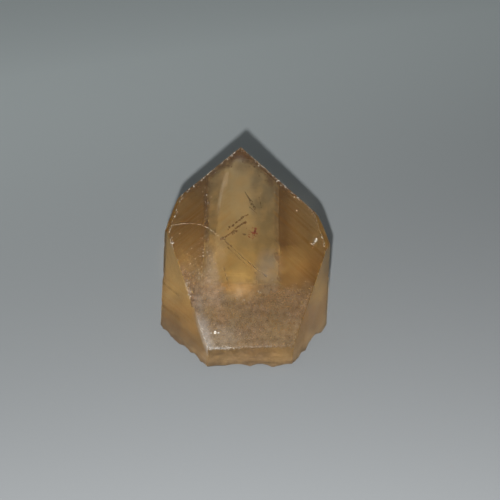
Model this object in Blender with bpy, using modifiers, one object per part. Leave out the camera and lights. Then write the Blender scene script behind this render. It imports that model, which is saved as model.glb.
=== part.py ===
"""A citrine crystal point, about 33 mm wide and 35 mm tall, standing on its broken base.

It is one quartz crystal and so one solid. A quartz point is a six-sided prism closed by sloping end
faces. Here one end face has grown far larger than the rest: it slopes across the whole front, from
the tip down to a low front wall. Two more large end faces close the back of the tip, and small ones
cut the corners between them. The base broke a little askew, so the crystal leans to its right.

The solid is made as a lapidary would picture it: a rough block is cut by one plane for each crystal
face, its edges are worn by a narrow bevel, and shell-shaped chips are scooped out by balls.

Metres, +Z up. The large end face looks towards -Y. The origin is on the resting surface, under the
middle of the crystal's outline.
"""

import math

import bmesh
import bpy
import numpy as np
from mathutils import Matrix, Vector

MM = 0.001
NAME = "crystal"

# The long axis leans this many degrees, towards this side seen from above.
LEAN = 1.8
LEAN_TOWARDS = 82.0

# Each crystal face: the way it looks, seen along the long axis (0 is the front, 90 the right side),
# the angle from the long axis to its normal, and its distance from the middle of the base in
# millimetres. A quartz prism face stands at 90 degrees and an end face at 51.8. This crystal is off
# by a degree or two, because its prism tapers and its faces are stepped by growth.
FACES = {
    "front_prism": (0.8, 90.0, 13.35),
    "right_front_prism": (60.6, 89.4, 13.9),
    "right_back_prism": (121.5, 88.3, 13.95),
    "back_prism": (180.0, 89.2, 15.2),
    "left_back_prism": (239.0, 88.0, 14.85),
    "left_front_prism": (299.7, 89.4, 13.3),
    "front_end": (-0.2, 51.2, 13.2),
    "right_back_end": (121.0, 50.5, 25.3),
    "left_back_end": (237.8, 49.3, 27.7),
    "right_small_end": (60.0, 51.9, 22.65),
    "left_small_end": (300.0, 51.6, 23.5),
    "back_small_end": (181.0, 51.8, 29.9),
    "right_shoulder": (112.5, 70.5, 20.7),
}
BLOCK_SIDE = 90 * MM  # the rough block, larger than the crystal every way

# The worn edges.
WEAR_WIDTH = 0.14 * MM
WEAR_ANGLE = math.radians(20)

# Each chip bites the edge between two faces at a height above the base. Then come the radius of the
# ball that scoops it and how deep it bites. All in millimetres.
EDGE_CHIPS = {
    "shoulder_chip": ("front_end", "right_small_end", 19.4, 2.6, 0.30),
    "left_edge_chip": ("front_end", "left_front_prism", 13.6, 2.0, 0.30),
    "left_edge_pit": ("front_end", "left_front_prism", 11.8, 1.6, 0.38),
    "left_back_chip": ("left_back_prism", "back_prism", 15.0, 4.2, 0.42),
    "right_back_chip": ("right_back_prism", "back_prism", 7.5, 5.5, 0.50),
    "back_ridge_chip": ("right_back_end", "left_back_end", 33.9, 1.6, 0.20),
}
# A dent in the middle of a face: where it is sideways and in height, then the ball as above.
FACE_DENTS = {"shoulder_dent": ("front_end", 13.1, 19.6, 2.4, 0.30)}
# Chips on the rim of the base: the wall, its two neighbours, how far the chip sits from the first
# neighbour's corner (0) to the second's (1), then the ball as above.
RIM_CHIPS = {
    "front_notch": ("front_prism", "left_front_prism", "right_front_prism", 0.62, 4.0, 0.72),
    "front_left_rim_chip": ("front_prism", "left_front_prism", "right_front_prism", 0.15, 14.0, 0.62),
    "right_rim_chip": ("right_front_prism", "front_prism", "right_back_prism", 0.61, 8.0, 1.20),
    "right_corner_chip": ("right_front_prism", "front_prism", "right_back_prism", 1.0, 2.4, 0.70),
    "left_rim_chip": ("left_front_prism", "left_back_prism", "front_prism", 0.56, 7.0, 0.60),
    "left_corner_chip": ("left_front_prism", "left_back_prism", "front_prism", 0.0, 2.4, 0.60),
    "back_rim_chip": ("back_prism", "right_back_prism", "left_back_prism", 0.60, 8.0, 2.2),
    "left_back_rim_chip": ("left_back_prism", "back_prism", "left_front_prism", 0.45, 6.0, 1.0),
    "right_back_rim_chip": ("right_back_prism", "right_front_prism", "back_prism", 0.5, 5.0, 0.8),
}
# Shallow shell-shaped hollows in the broken base: the place in plan, the ball's radius, the depth.
BASE_HOLLOWS = {
    "base_hollow_front": (-3.5, -5.5, 19.0, 0.75),
    "base_hollow_right": (7.5, 1.0, 13.0, 0.60),
    "base_hollow_back": (-4.0, 7.0, 15.0, 0.70),
}
BALL_FACET = 0.7 * MM  # about the width of a facet on a cutting ball
FEWEST_SEGMENTS, MOST_SEGMENTS = 20, 96

CITRINE = (0.62, 0.36, 0.11, 1.0)
QUARTZ_IOR = 1.544


def clear_scene():
    for old in list(bpy.data.objects):
        bpy.data.objects.remove(old)


def lean():
    """The turn that leans the long axis from upright."""
    towards = math.radians(LEAN_TOWARDS)
    hinge = Vector((math.cos(towards), math.sin(towards), 0))
    return Matrix.Rotation(math.radians(LEAN), 3, hinge)


def plane_of(face):
    """The face's outward normal and its distance from the middle of the base, in metres."""
    if face == "base":
        return Vector((0, 0, -1)), 0.0
    azimuth, tilt, reach = FACES[face]
    around, down = math.radians(azimuth), math.radians(tilt)
    across = math.sin(down)
    normal = Vector((across * math.sin(around), -across * math.cos(around), math.cos(down)))
    return lean() @ normal, reach * MM


def meeting_point(*planes):
    """The point that lies on three planes, each given as its normal and its distance."""
    normals = np.array([normal for normal, _ in planes])
    return Vector(np.linalg.solve(normals, [reach for _, reach in planes]))


def corner(*faces):
    return meeting_point(*[plane_of(face) for face in faces])


def level(height):
    return Vector((0, 0, 1)), height * MM


def collection_named(name):
    made = bpy.data.collections.new(name)
    bpy.context.scene.collection.children.link(made)
    return made


def move_to(collection, obj):
    for old in list(obj.users_collection):
        old.objects.unlink(obj)
    collection.objects.link(obj)


def cut_crystal():
    """A block cut by one plane for each crystal face and one for the base, closed after each cut."""
    shape = bmesh.new()
    bmesh.ops.create_cube(shape, size=BLOCK_SIDE)
    for face in [*FACES, "base"]:
        normal, reach = plane_of(face)
        cut = bmesh.ops.bisect_plane(
            shape,
            geom=shape.verts[:] + shape.edges[:] + shape.faces[:],
            plane_co=normal * reach,
            plane_no=normal,
            clear_outer=True,
        )
        rim = [item for item in cut["geom_cut"] if isinstance(item, bmesh.types.BMEdge)]
        bmesh.ops.edgeloop_fill(shape, edges=rim)
    bmesh.ops.recalc_face_normals(shape, faces=shape.faces[:])
    mesh = bpy.data.meshes.new(NAME)
    shape.to_mesh(mesh)
    shape.free()
    return bpy.data.objects.new(NAME, mesh)


def wear_edges(crystal):
    wear = crystal.modifiers.new("worn_edges", "BEVEL")
    wear.width = WEAR_WIDTH
    wear.segments = 1
    wear.limit_method = "ANGLE"
    wear.angle_limit = WEAR_ANGLE


def ball(name, centre, radius, cutters):
    segments = round(2 * math.pi * radius / BALL_FACET)
    segments = min(max(segments, FEWEST_SEGMENTS), MOST_SEGMENTS)
    bpy.ops.mesh.primitive_uv_sphere_add(
        segments=segments, ring_count=segments // 2, radius=radius, location=centre
    )
    cutter = bpy.context.object
    cutter.name = name
    cutter.display_type = "WIRE"
    cutter.hide_render = True
    move_to(cutters, cutter)
    return cutter


def scoop(crystal, name, bite, outward, radius, depth, cutters):
    """Takes a shell-shaped chip that reaches depth below bite, with its ball lying outward of it."""
    centre = bite + outward.normalized() * (radius - depth) * MM
    cut = crystal.modifiers.new(name, "BOOLEAN")
    cut.operation = "DIFFERENCE"
    cut.solver = "EXACT"
    cut.object = ball(name, centre, radius * MM, cutters)


def chip_edges(crystal, cutters):
    for name, (first, second, height, radius, depth) in EDGE_CHIPS.items():
        bite = meeting_point(plane_of(first), plane_of(second), level(height))
        outward = plane_of(first)[0] + plane_of(second)[0]
        scoop(crystal, name, bite, outward, radius, depth, cutters)


def dent_faces(crystal, cutters):
    for name, (face, sideways, height, radius, depth) in FACE_DENTS.items():
        across = Vector((1, 0, 0)), sideways * MM
        bite = meeting_point(plane_of(face), across, level(height))
        scoop(crystal, name, bite, plane_of(face)[0], radius, depth, cutters)


def chip_rim(crystal, cutters):
    for name, (wall, before, after, along, radius, depth) in RIM_CHIPS.items():
        bite = corner(wall, before, "base").lerp(corner(wall, after, "base"), along)
        outward = plane_of(wall)[0] + plane_of("base")[0]
        scoop(crystal, name, bite, outward, radius, depth, cutters)


def hollow_base(crystal, cutters):
    for name, (x, y, radius, depth) in BASE_HOLLOWS.items():
        bite = Vector((x, y, 0)) * MM
        scoop(crystal, name, bite, plane_of("base")[0], radius, depth, cutters)


def centre_over_origin(crystal, cutters):
    """Moves the crystal and its cutters so that its outline is centred over the origin, in plan."""
    corners = np.array([vertex.co for vertex in crystal.data.vertices])
    middle = (corners.min(0) + corners.max(0)) / 2
    shift = Vector((-middle[0], -middle[1], 0))
    crystal.location += shift
    for cutter in cutters.objects:
        cutter.location += shift


def citrine_material():
    material = bpy.data.materials.new("citrine")
    material.use_nodes = True
    shader = material.node_tree.nodes["Principled BSDF"]
    shader.inputs["Base Color"].default_value = CITRINE
    shader.inputs["Roughness"].default_value = 0.15
    shader.inputs["Metallic"].default_value = 0.0
    shader.inputs["IOR"].default_value = QUARTZ_IOR
    shader.inputs["Transmission Weight"].default_value = 0.8
    return material


def main():
    clear_scene()
    parts = collection_named("citrine_point")
    cutters = collection_named("cutters")
    crystal = cut_crystal()
    parts.objects.link(crystal)
    crystal.data.materials.append(citrine_material())
    wear_edges(crystal)
    chip_edges(crystal, cutters)
    dent_faces(crystal, cutters)
    chip_rim(crystal, cutters)
    hollow_base(crystal, cutters)
    centre_over_origin(crystal, cutters)


main()
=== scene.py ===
# %% [markdown]
# # A citrine crystal point
#
# Citrine is quartz that iron has turned yellow-brown. A point of it is one crystal: a six-sided
# prism closed by sloping end faces. This one stands on its broken base, and one end face has grown
# so large that it slopes across the whole front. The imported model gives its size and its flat
# faces. This script builds its finer surface over them and gives it its see-through amber finish.

# %% Load the frame
import itertools
import math

import bpy
import numpy as np
from mathutils import Matrix, Vector
from mathutils.bvhtree import BVHTree


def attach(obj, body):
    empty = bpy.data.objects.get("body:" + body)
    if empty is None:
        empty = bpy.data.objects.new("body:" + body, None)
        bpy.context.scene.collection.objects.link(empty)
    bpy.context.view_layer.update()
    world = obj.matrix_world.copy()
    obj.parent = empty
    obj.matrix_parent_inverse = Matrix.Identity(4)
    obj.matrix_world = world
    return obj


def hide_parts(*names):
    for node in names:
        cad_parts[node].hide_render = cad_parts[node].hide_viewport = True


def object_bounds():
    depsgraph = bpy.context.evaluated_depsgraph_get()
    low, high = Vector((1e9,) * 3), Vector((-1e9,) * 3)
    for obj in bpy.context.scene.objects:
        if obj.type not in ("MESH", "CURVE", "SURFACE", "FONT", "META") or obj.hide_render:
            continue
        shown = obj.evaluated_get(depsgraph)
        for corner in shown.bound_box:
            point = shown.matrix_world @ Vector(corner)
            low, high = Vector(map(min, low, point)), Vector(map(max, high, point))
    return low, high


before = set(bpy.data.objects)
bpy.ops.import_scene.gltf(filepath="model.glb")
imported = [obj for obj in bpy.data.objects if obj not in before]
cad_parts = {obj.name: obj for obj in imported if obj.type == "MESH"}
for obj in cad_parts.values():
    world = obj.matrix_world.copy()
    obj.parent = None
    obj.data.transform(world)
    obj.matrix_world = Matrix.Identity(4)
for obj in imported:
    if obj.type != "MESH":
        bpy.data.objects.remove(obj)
cad_low, cad_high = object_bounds()
MM = 0.001
print("the packed crystal, in mm:", [round(side / MM, 2) for side in cad_high - cad_low])

# %% [markdown]
# ## The crystal's flat faces
#
# Every face of a quartz crystal looks in one of a few fixed directions, a little off where growth
# was uneven. Only the steep right shoulder here is none of the usual faces. The directions are named
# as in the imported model: the azimuth round the long axis (0 is the front, 90 the right side) and
# the angle from the long axis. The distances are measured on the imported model, as its furthest
# reach along each direction, so the two always agree.

# %% Where the faces look, and how far out they lie
FACES = {
    "front_prism": (0.8, 90.0),
    "right_front_prism": (60.6, 89.4),
    "right_back_prism": (121.5, 88.3),
    "back_prism": (180.0, 89.2),
    "left_back_prism": (239.0, 88.0),
    "left_front_prism": (299.7, 89.4),
    "front_end": (-0.2, 51.2),
    "right_back_end": (121.0, 50.5),
    "left_back_end": (237.8, 49.3),
    "right_small_end": (60.0, 51.9),
    "left_small_end": (300.0, 51.6),
    "back_small_end": (181.0, 51.8),
    "right_shoulder": (112.5, 70.5),
}
NAMES = [*FACES, "base"]
LEAN, LEAN_TOWARDS = 1.8, 82.0  # degrees: the long axis leans a little to the right


def lean():
    """A turn about the level line square to the side it leans towards."""
    towards = math.radians(LEAN_TOWARDS)
    hinge = Vector((math.cos(towards), math.sin(towards), 0))
    return np.array(Matrix.Rotation(math.radians(LEAN), 3, hinge))


def outward_directions():
    """Unit normals: sine of the tilt times the compass direction, and cosine of the tilt along Z."""
    around, down = np.radians(np.array(list(FACES.values()))).T
    across = np.sin(down)
    turned = np.stack([across * np.sin(around), -across * np.cos(around), np.cos(down)], 1)
    return np.vstack([turned @ lean().T, [[0, 0, -1]]])


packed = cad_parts["crystal"].data
packed_points = np.empty(len(packed.vertices) * 3)
packed.vertices.foreach_get("co", packed_points)
NORMALS = outward_directions()
REACH = (packed_points.reshape(-1, 3) @ NORMALS.T).max(0)
for name, reach in zip(NAMES, REACH):
    print(f"{name:18s} {reach / MM:6.2f} mm out")


# %% [markdown]
# ## From planes to corners
#
# A crystal is what is left inside all its planes. Three planes meet in a point, and the point is a
# corner if no other plane cuts it off. The corners on one face, sorted round its middle, are its
# outline.

# %% Find the corners and the outline of each face
SAME = 1e-7  # metres; points closer than this are one point
NEARLY_PARALLEL = 1e-4  # three planes with a smaller determinant have no sound common point


def outside(points):
    """How far each point lies outside each plane, in metres: direction . point - reach."""
    return points @ NORMALS.T - REACH


def find_corners():
    """Solves every three planes for their common point, and keeps the points inside all planes."""
    triples = np.array(list(itertools.combinations(range(len(NAMES)), 3)))
    systems = NORMALS[triples]
    sound = np.abs(np.linalg.det(systems)) > NEARLY_PARALLEL
    points = np.linalg.solve(systems[sound], REACH[triples[sound]][..., None])[..., 0]
    return points[outside(points).max(1) < SAME]


def distinct(points):
    """Each place once."""
    return np.unique(np.round(points / SAME), axis=0) * SAME


def outline(face):
    """The corners on a face in order, anticlockwise as seen from outside."""
    points = distinct(corners[np.abs(corners @ NORMALS[face] - REACH[face]) < SAME])
    middle = points.mean(0)
    across = points[0] - middle
    upward = np.cross(NORMALS[face], across)
    turn = np.arctan2((points - middle) @ upward, (points - middle) @ across)
    return points[np.argsort(turn)]


corners = find_corners()
outlines = {name: outline(i) for i, name in enumerate(NAMES)}
print({name: len(points) for name, points in outlines.items()})

# %% [markdown]
# ## A fine grid on every face
#
# A flat face needs no points of its own, but its wear, chips and growth marks do. Each face is
# filled with a fan of grids, one from its middle to each side. A grid has two parameters: how far
# from the middle to the side, and how far along the side. The rows crowd towards the side, where
# the edge is rounded, and two faces that share a side place the same points along it, so the
# whole skin closes when equal points are merged.

# %% Lay the grids and merge them into one closed skin
STEP = 0.31 * MM
EDGE_ROWS = np.array([0.0, 0.03, 0.07, 0.12, 0.18, 0.26, 0.36, 0.5, 0.7]) * MM
CROWDED = 0.6  # the crowded rows take up no more than this share of the way


def rows_for(reach):
    """Shares of the way from the middle (0) to the side (1): even steps, then the crowded ones."""
    near = EDGE_ROWS[EDGE_ROWS < reach * CROWDED]
    inner = reach - near[-1]
    even = np.linspace(0, inner, max(2, round(inner / STEP)))[:-1]
    return np.concatenate([even, reach - near[::-1]]) / reach


def side_fan(middle, start, end, rows):
    """Points middle + r * (start + t * (end - start) - middle), for r in rows and t from 0 to 1."""
    count = max(1, math.ceil(np.linalg.norm(end - start) / STEP))
    along = np.linspace(0, 1, count + 1)[None, :, None]
    side = start + along * (end - start)
    return middle + rows[:, None, None] * (side - middle)


def grid_triangles(shape, first):
    """Two triangles for each cell of a grid whose points are numbered row by row from first."""
    numbers = first + np.arange(shape[0] * shape[1]).reshape(shape[:2])
    a, b, c, d = numbers[:-1, :-1], numbers[1:, :-1], numbers[1:, 1:], numbers[:-1, 1:]
    return np.stack([a, b, c, a, c, d], -1).reshape(-1, 3)


def face_fan(points):
    """The grids of one face: its points and triangles."""
    middle = points.mean(0)
    ends = np.roll(points, -1, 0)
    sides = ends - points
    lengths = np.linalg.norm(sides, axis=1)
    gaps = np.linalg.norm(np.cross(sides, middle - points), axis=1) / lengths
    rows = rows_for(np.average(gaps, weights=lengths))
    grids = [side_fan(middle, start, end, rows) for start, end in zip(points, ends)]
    firsts = np.cumsum([0] + [grid.shape[0] * grid.shape[1] for grid in grids])
    triangles = [grid_triangles(grid.shape, first) for grid, first in zip(grids, firsts)]
    return np.concatenate([grid.reshape(-1, 3) for grid in grids]), np.concatenate(triangles)


def merged(points, triangles):
    """Equal points made one, and the triangles that shrank to a line dropped."""
    places = np.round(points / SAME).astype(np.int64)
    _, first, index = np.unique(places, axis=0, return_index=True, return_inverse=True)
    triangles = index.reshape(-1)[triangles]
    a, b, c = triangles.T
    return points[first], triangles[(a != b) & (b != c) & (a != c)]


def crystal_skin():
    """The fans of all faces, closed into one skin: its points and triangles."""
    fans = [face_fan(outlines[name]) for name in NAMES]
    firsts = np.cumsum([0] + [len(points) for points, _ in fans])
    points = np.concatenate([points for points, _ in fans])
    triangles = np.concatenate([made + first for (_, made), first in zip(fans, firsts)])
    return merged(points, triangles)


flat_points, skin_triangles = crystal_skin()
print(len(flat_points), "points,", len(skin_triangles), "triangles")

# %% [markdown]
# ## Worn edges
#
# Handling has rubbed every edge a little round. The largest of the signed distances to all planes
# is zero on the sharp crystal. A smooth maximum, log(sum(exp(d / w))) * w, is zero on the same
# crystal with edges rounded by about w, so the points are brought to where it is zero. The width w
# varies from place to place, because no edge wears evenly.

# %% Bring the points onto a rounded surface
HASH_ALONG, HASH_SCALE = [12.9898, 78.233, 37.719], 43758.5453  # they scramble a corner's numbers
LEAST_WEAR, MORE_WEAR, WEAR_SIZE, WEAR_SEED = 0.045, 0.10, 1.7, 3  # widths in millimetres
NEWTON_STEPS = 4


def lattice_noise(points, size, seed):
    """A random number from 0 to 1 at each corner of a lattice, blended smoothly in between."""
    cell = np.floor(points / size)
    part = points / size - cell
    blend = part * part * (3 - 2 * part)
    total = np.zeros(len(points))
    for corner in itertools.product((0, 1), repeat=3):
        corner = np.array(corner)
        value = np.sin((cell + corner) @ HASH_ALONG + seed) * HASH_SCALE
        weight = np.where(corner == 1, blend, 1 - blend).prod(1)
        total += (value - np.floor(value)) * weight
    return total


def wear(points):
    """Newton steps along the gradient of the smooth maximum, to where it is zero."""
    uneven = lattice_noise(points, WEAR_SIZE * MM, WEAR_SEED) ** 2
    width = (LEAST_WEAR + MORE_WEAR * uneven)[:, None] * MM
    for _ in range(NEWTON_STEPS):
        signed = outside(points) / width
        highest = signed.max(1, keepdims=True)
        share = np.exp(signed - highest)
        over = (highest + np.log(share.sum(1, keepdims=True))) * width
        slope = (share / share.sum(1, keepdims=True)) @ NORMALS
        points = points - over * slope / (slope**2).sum(1, keepdims=True)
    return points


worn_points = wear(flat_points)
taken = np.linalg.norm(worn_points - flat_points, axis=1).max()
print("wear takes away up to", round(taken / MM, 3), "mm")

# %% [markdown]
# ## Growth relief
#
# Quartz prism faces carry level growth lines, and its end faces carry low hillocks. Both are only
# hundredths of a millimetre high, yet they bend the light that passes through, so the far faces
# look streaked from the front. The relief only sinks into the crystal.

# %% Sink growth lines and hillocks into the faces
DRAWN_OUT = [0.22, 0.22, 1.0]  # lines are noise stretched level, by this share of its fineness
UPRIGHT = 0.2  # a face whose normal rises less than this is a prism face
RELIEF_FADE = 0.6 * MM  # the relief fades out this near an edge


def growth_relief(points):
    """Depth in metres: streaks that repeat up the prism, and soft bumps a few millimetres wide."""
    flattened = points * DRAWN_OUT
    lines = lattice_noise(flattened, 1.15 * MM, 11) + 0.5 * lattice_noise(flattened, 0.5 * MM, 12)
    hills = lattice_noise(points, 3.6 * MM, 13) + 0.4 * lattice_noise(points, 1.5 * MM, 14)
    nearest = outside(points).argmax(1)
    upright = np.abs(NORMALS[nearest, 2]) < UPRIGHT
    depth = np.where(upright, 0.020 * lines + 0.010 * hills, 0.004 * lines + 0.022 * hills)
    inward = np.clip(-np.sort(outside(points), 1)[:, -2] / RELIEF_FADE, 0, 1)
    return depth * inward * MM, nearest


depth, nearest = growth_relief(worn_points)
grown = worn_points - NORMALS[nearest] * depth[:, None]
print("growth relief up to", round(depth.max() / MM, 3), "mm deep")

# %% [markdown]
# ## Chips
#
# Quartz has no cleavage, so it breaks in shells. Each chip is scooped out by a ball that lies
# mostly outside the crystal: a point inside the ball moves straight away from its centre to its
# surface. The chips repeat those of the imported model, all but the one on the big face's lowest left
# corner, which is too small for it. The last two numbers of each are the ball's radius and how deep
# it bites, in millimetres.

# %% Scoop the named chips
EDGE_CHIPS = [  # the two faces that meet, and the height
    ("front_end", "right_small_end", 19.4, 2.6, 0.30),
    ("front_end", "left_front_prism", 13.6, 2.0, 0.30),
    ("front_end", "left_front_prism", 11.8, 1.6, 0.38),
    ("left_back_prism", "back_prism", 15.0, 4.2, 0.42),
    ("right_back_prism", "back_prism", 7.5, 5.5, 0.50),
    ("right_back_end", "left_back_end", 33.9, 1.6, 0.20),
]
CORNER_CHIPS = [("front_end", "left_front_prism", "front_prism", 1.6, 0.30)]
RIM_CHIPS = [  # the wall, its neighbours, and the share of the way from one's corner to the other's
    ("front_prism", "left_front_prism", "right_front_prism", 0.62, 4.0, 0.72),
    ("front_prism", "left_front_prism", "right_front_prism", 0.15, 14.0, 0.62),
    ("right_front_prism", "front_prism", "right_back_prism", 0.61, 8.0, 1.20),
    ("right_front_prism", "front_prism", "right_back_prism", 1.0, 2.4, 0.70),
    ("left_front_prism", "left_back_prism", "front_prism", 0.56, 7.0, 0.60),
    ("left_front_prism", "left_back_prism", "front_prism", 0.0, 2.4, 0.60),
    ("back_prism", "right_back_prism", "left_back_prism", 0.60, 8.0, 2.2),
    ("left_back_prism", "back_prism", "left_front_prism", 0.45, 6.0, 1.0),
    ("right_back_prism", "right_front_prism", "back_prism", 0.5, 5.0, 0.8),
]
FACE_DENTS = [("front_end", 13.1, 19.6, 2.4, 0.30)]  # the face, x and height
BASE_HOLLOWS = [(-3.5, -6.4, 19.0, 0.75), (7.5, 0.1, 13.0, 0.60), (-4.0, 6.1, 15.0, 0.70)]  # x and y
SHARP_RIM, RIPPLE, RIPPLE_SIZE, RIPPLE_SEED = 0.02 * MM, 0.035 * MM, 0.9 * MM, 21


def plane(name):
    """A face's outward direction and its reach."""
    return NORMALS[NAMES.index(name)], REACH[NAMES.index(name)]


def meeting_point(*planes):
    """The point on three planes, each given as its normal and its distance from the origin."""
    normals, distances = zip(*planes)
    return np.linalg.solve(np.array(normals), np.array(distances))


def place_on(name, sideways, upward):
    """The point on a face's plane at this x and height, given in millimetres."""
    return meeting_point(plane(name), ((1, 0, 0), sideways * MM), ((0, 0, 1), upward * MM))


def ball_over(bite, outward, radius, depth):
    """The ball that reaches depth below bite, as its centre and radius in metres."""
    outward = outward / np.linalg.norm(outward)
    return bite + outward * (radius - depth) * MM, radius * MM


def named_balls():
    """The ball of each chip in the lists."""
    for first, second, height, *size in EDGE_CHIPS:
        bite = meeting_point(plane(first), plane(second), ((0, 0, 1), height * MM))
        yield ball_over(bite, plane(first)[0] + plane(second)[0], *size)
    for *faces, radius, depth in CORNER_CHIPS:
        planes = [plane(name) for name in faces]
        yield ball_over(meeting_point(*planes), sum(normal for normal, _ in planes), radius, depth)
    for name, sideways, height, *size in FACE_DENTS:
        yield ball_over(place_on(name, sideways, height), plane(name)[0], *size)
    for wall, before, after, along, *size in RIM_CHIPS:
        start, end = (meeting_point(plane(wall), plane(side), plane("base")) for side in (before, after))
        yield ball_over(start + along * (end - start), plane(wall)[0] + plane("base")[0], *size)
    for x, y, *size in BASE_HOLLOWS:
        yield ball_over(np.array((x, y, 0)) * MM, plane("base")[0], *size)


def scoop(points, centre, radius, rim):
    """Adds rim * log(1 + exp((radius - r) / rim)) to r, the distance from the ball's centre."""
    away = points - centre
    distance = np.linalg.norm(away, axis=1, keepdims=True)
    return points + away / distance * rim * np.logaddexp(0, (radius - distance) / rim)


chipped = grown
named = list(named_balls())
for centre, radius in named:
    ripple = RIPPLE * lattice_noise(chipped, RIPPLE_SIZE, RIPPLE_SEED)[:, None]
    chipped = scoop(chipped, centre, radius - ripple, SHARP_RIM)
print(len(named), "named chips")

# %% [markdown]
# ## Nibbled edges
#
# Between the named chips every edge is nibbled by tiny ones, and the rim of the broken base by
# larger ones. They are placed at random, with a fixed seed, more densely where an edge is exposed.

# %% Nibble the edges
NIBBLE_SEED = 7
EXPOSED = ("front_end", "right_shoulder", "front_prism", "left_front_prism")
NIBBLES = {  # millimetres between chips, the scale of their depth, and radius over depth
    "rim": (1.3, 0.13, (3, 9)),
    "exposed": (0.8, 0.032, (2.5, 7)),
    "sheltered": (1.6, 0.032, (2.5, 7)),
}
DEPTH_SHAPE, LEAST_RADIUS, TILT = 2.2, 0.15, 0.35  # of the gamma draw, in mm, and a share
NIBBLE_RIM, NIBBLE_MARGIN = 0.012 * MM, 0.1 * MM


def crystal_edges():
    """Each edge as its two faces and its two corners: the faces share those corners."""
    on = np.abs(outside(corners)) < SAME
    for i, j in itertools.combinations(range(len(NAMES)), 2):
        shared = distinct(corners[on[:, i] & on[:, j]])
        if len(shared) == 2:
            yield i, j, shared[0], shared[1]


def nibbling_balls():
    """Balls strung along every edge, of a random size, and tilted a little at random."""
    chance = np.random.default_rng(NIBBLE_SEED)
    for i, j, start, end in crystal_edges():
        faces = {NAMES[i], NAMES[j]}
        kind = "rim" if "base" in faces else "exposed" if faces & set(EXPOSED) else "sheltered"
        spacing, depth_scale, radius_range = NIBBLES[kind]
        count = max(1, round(np.linalg.norm(end - start) / MM / spacing))
        along = (np.arange(count) + chance.uniform(0, 1, count)) / count
        depths = chance.gamma(DEPTH_SHAPE, depth_scale, count)
        radii = depths * chance.uniform(*radius_range, count) + LEAST_RADIUS
        tilts = chance.normal(0, TILT, (count, 3))
        for t, depth, radius, tilt in zip(along, depths, radii, tilts):
            yield ball_over(start + t * (end - start), NORMALS[i] + NORMALS[j] + tilt, radius, depth)


nibbled = chipped
nibbles = list(nibbling_balls())
for centre, radius in nibbles:
    close = np.linalg.norm(nibbled - centre, axis=1) < radius + NIBBLE_MARGIN
    nibbled[close] = scoop(nibbled[close], centre, radius, NIBBLE_RIM)
print(len(nibbles), "small chips")

# %% [markdown]
# ## The broken base
#
# The crystal was snapped from its matrix. The break is uneven: shells a few millimetres wide with
# a finer grain over them. It sinks into the crystal, and a few high spots carry it on the floor.

# %% Roughen the base
SHELLS = [(3.1, 31, 0.34), (1.3, 32, 0.16)]  # size, seed and height of the billows, in millimetres
GRAIN_SIZE, GRAIN_SEED, GRAIN_HEIGHT = 0.6, 33, 0.07
INLAND = 1.2 * MM  # the relief reaches its full height this far from the rim


def break_relief(points):
    """Height in metres above the floor: billows, |2 n - 1| of two noises, and a fine grain."""
    shells = np.zeros(len(points))
    for size, seed, high in SHELLS:
        shells += np.abs(2 * lattice_noise(points, size * MM, seed) - 1) * high
    return (shells + lattice_noise(points, GRAIN_SIZE * MM, GRAIN_SEED) * GRAIN_HEIGHT) * MM


edge_gap = -np.delete(outside(flat_points), NAMES.index("base"), 1).max(1)
on_base = np.abs(flat_points[:, 2]) < SAME
inland = np.clip(edge_gap / INLAND, 0, 1) * on_base
broken_points = nibbled + np.outer(break_relief(flat_points) * inland, (0, 0, 1))
broken_points = np.clip(broken_points, cad_low, cad_high)
print("the base rises up to", round(broken_points[on_base, 2].max() / MM, 2), "mm")

# %% [markdown]
# ## Where the surface is worn, broken or frosted
#
# The material and the small marks need to know what happened at each point of the skin. Each of
# these numbers goes from 0 to 1: whether the point was chipped away, how near it is to an edge, how
# far the lower part of the big face has been rubbed to frost, and where its lower left corner is
# bruised white. Most come from a gap, the distance in millimetres from one of the flat faces.

# %% Measure the marks of wear
FROST_LINE = [  # x, and the height that the frost reaches there
    *((-14, 17.5), (-8, 17), (-5.5, 15.8), (-3.6, 13.4)),
    *((0.6, 13.4), (3, 15), (6, 14.6), (11, 14)),
]
AT_FRONT = 0.12  # millimetres from the big face, and still on its worn edge


def smooth_step(value, low, high):
    """0 below low, 1 above high, and 3 s^2 - 2 s^3 in between."""
    share = np.clip((value - low) / (high - low), 0, 1)
    return share * share * (3 - 2 * share)


def fade(value, near, far):
    """1 below near and 0 above far: one minus the smooth step."""
    return 1 - smooth_step(value, near, far)


gap = {name: (REACH[i] - flat_points @ NORMALS[i]) / MM for i, name in enumerate(NAMES)}
on_front, on_front_wall, on_left_wall, on_right_wall, on_back = (
    gap[name] < SAME / MM
    for name in ("front_end", "front_prism", "left_front_prism", "right_front_prism", "back_prism")
)
x, height = flat_points[:, 0] / MM, flat_points[:, 2] / MM
blur = lattice_noise(flat_points, 1.3 * MM, 44) - 0.5

taken = np.linalg.norm(broken_points - grown, axis=1) / MM
chip_mask = np.maximum(smooth_step(taken, 0.02, 0.08), on_base)
second_gap = -np.sort(outside(flat_points), 1)[:, -2] / MM
edge_mask = fade(second_gap, 0.08, 0.30)

frost_top = np.interp(x, *zip(*FROST_LINE))
frost_mask = fade(height + 2.2 * blur, frost_top - 2.6, frost_top + 1.2) * on_front
low_right = fade(height + 1.6 * blur, 3.5, 8.0) * on_right_wall * fade(gap["front_prism"], 3.0, 6.0)
frost_mask = np.maximum(frost_mask, 0.6 * np.maximum(low_right, on_front_wall))

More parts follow.
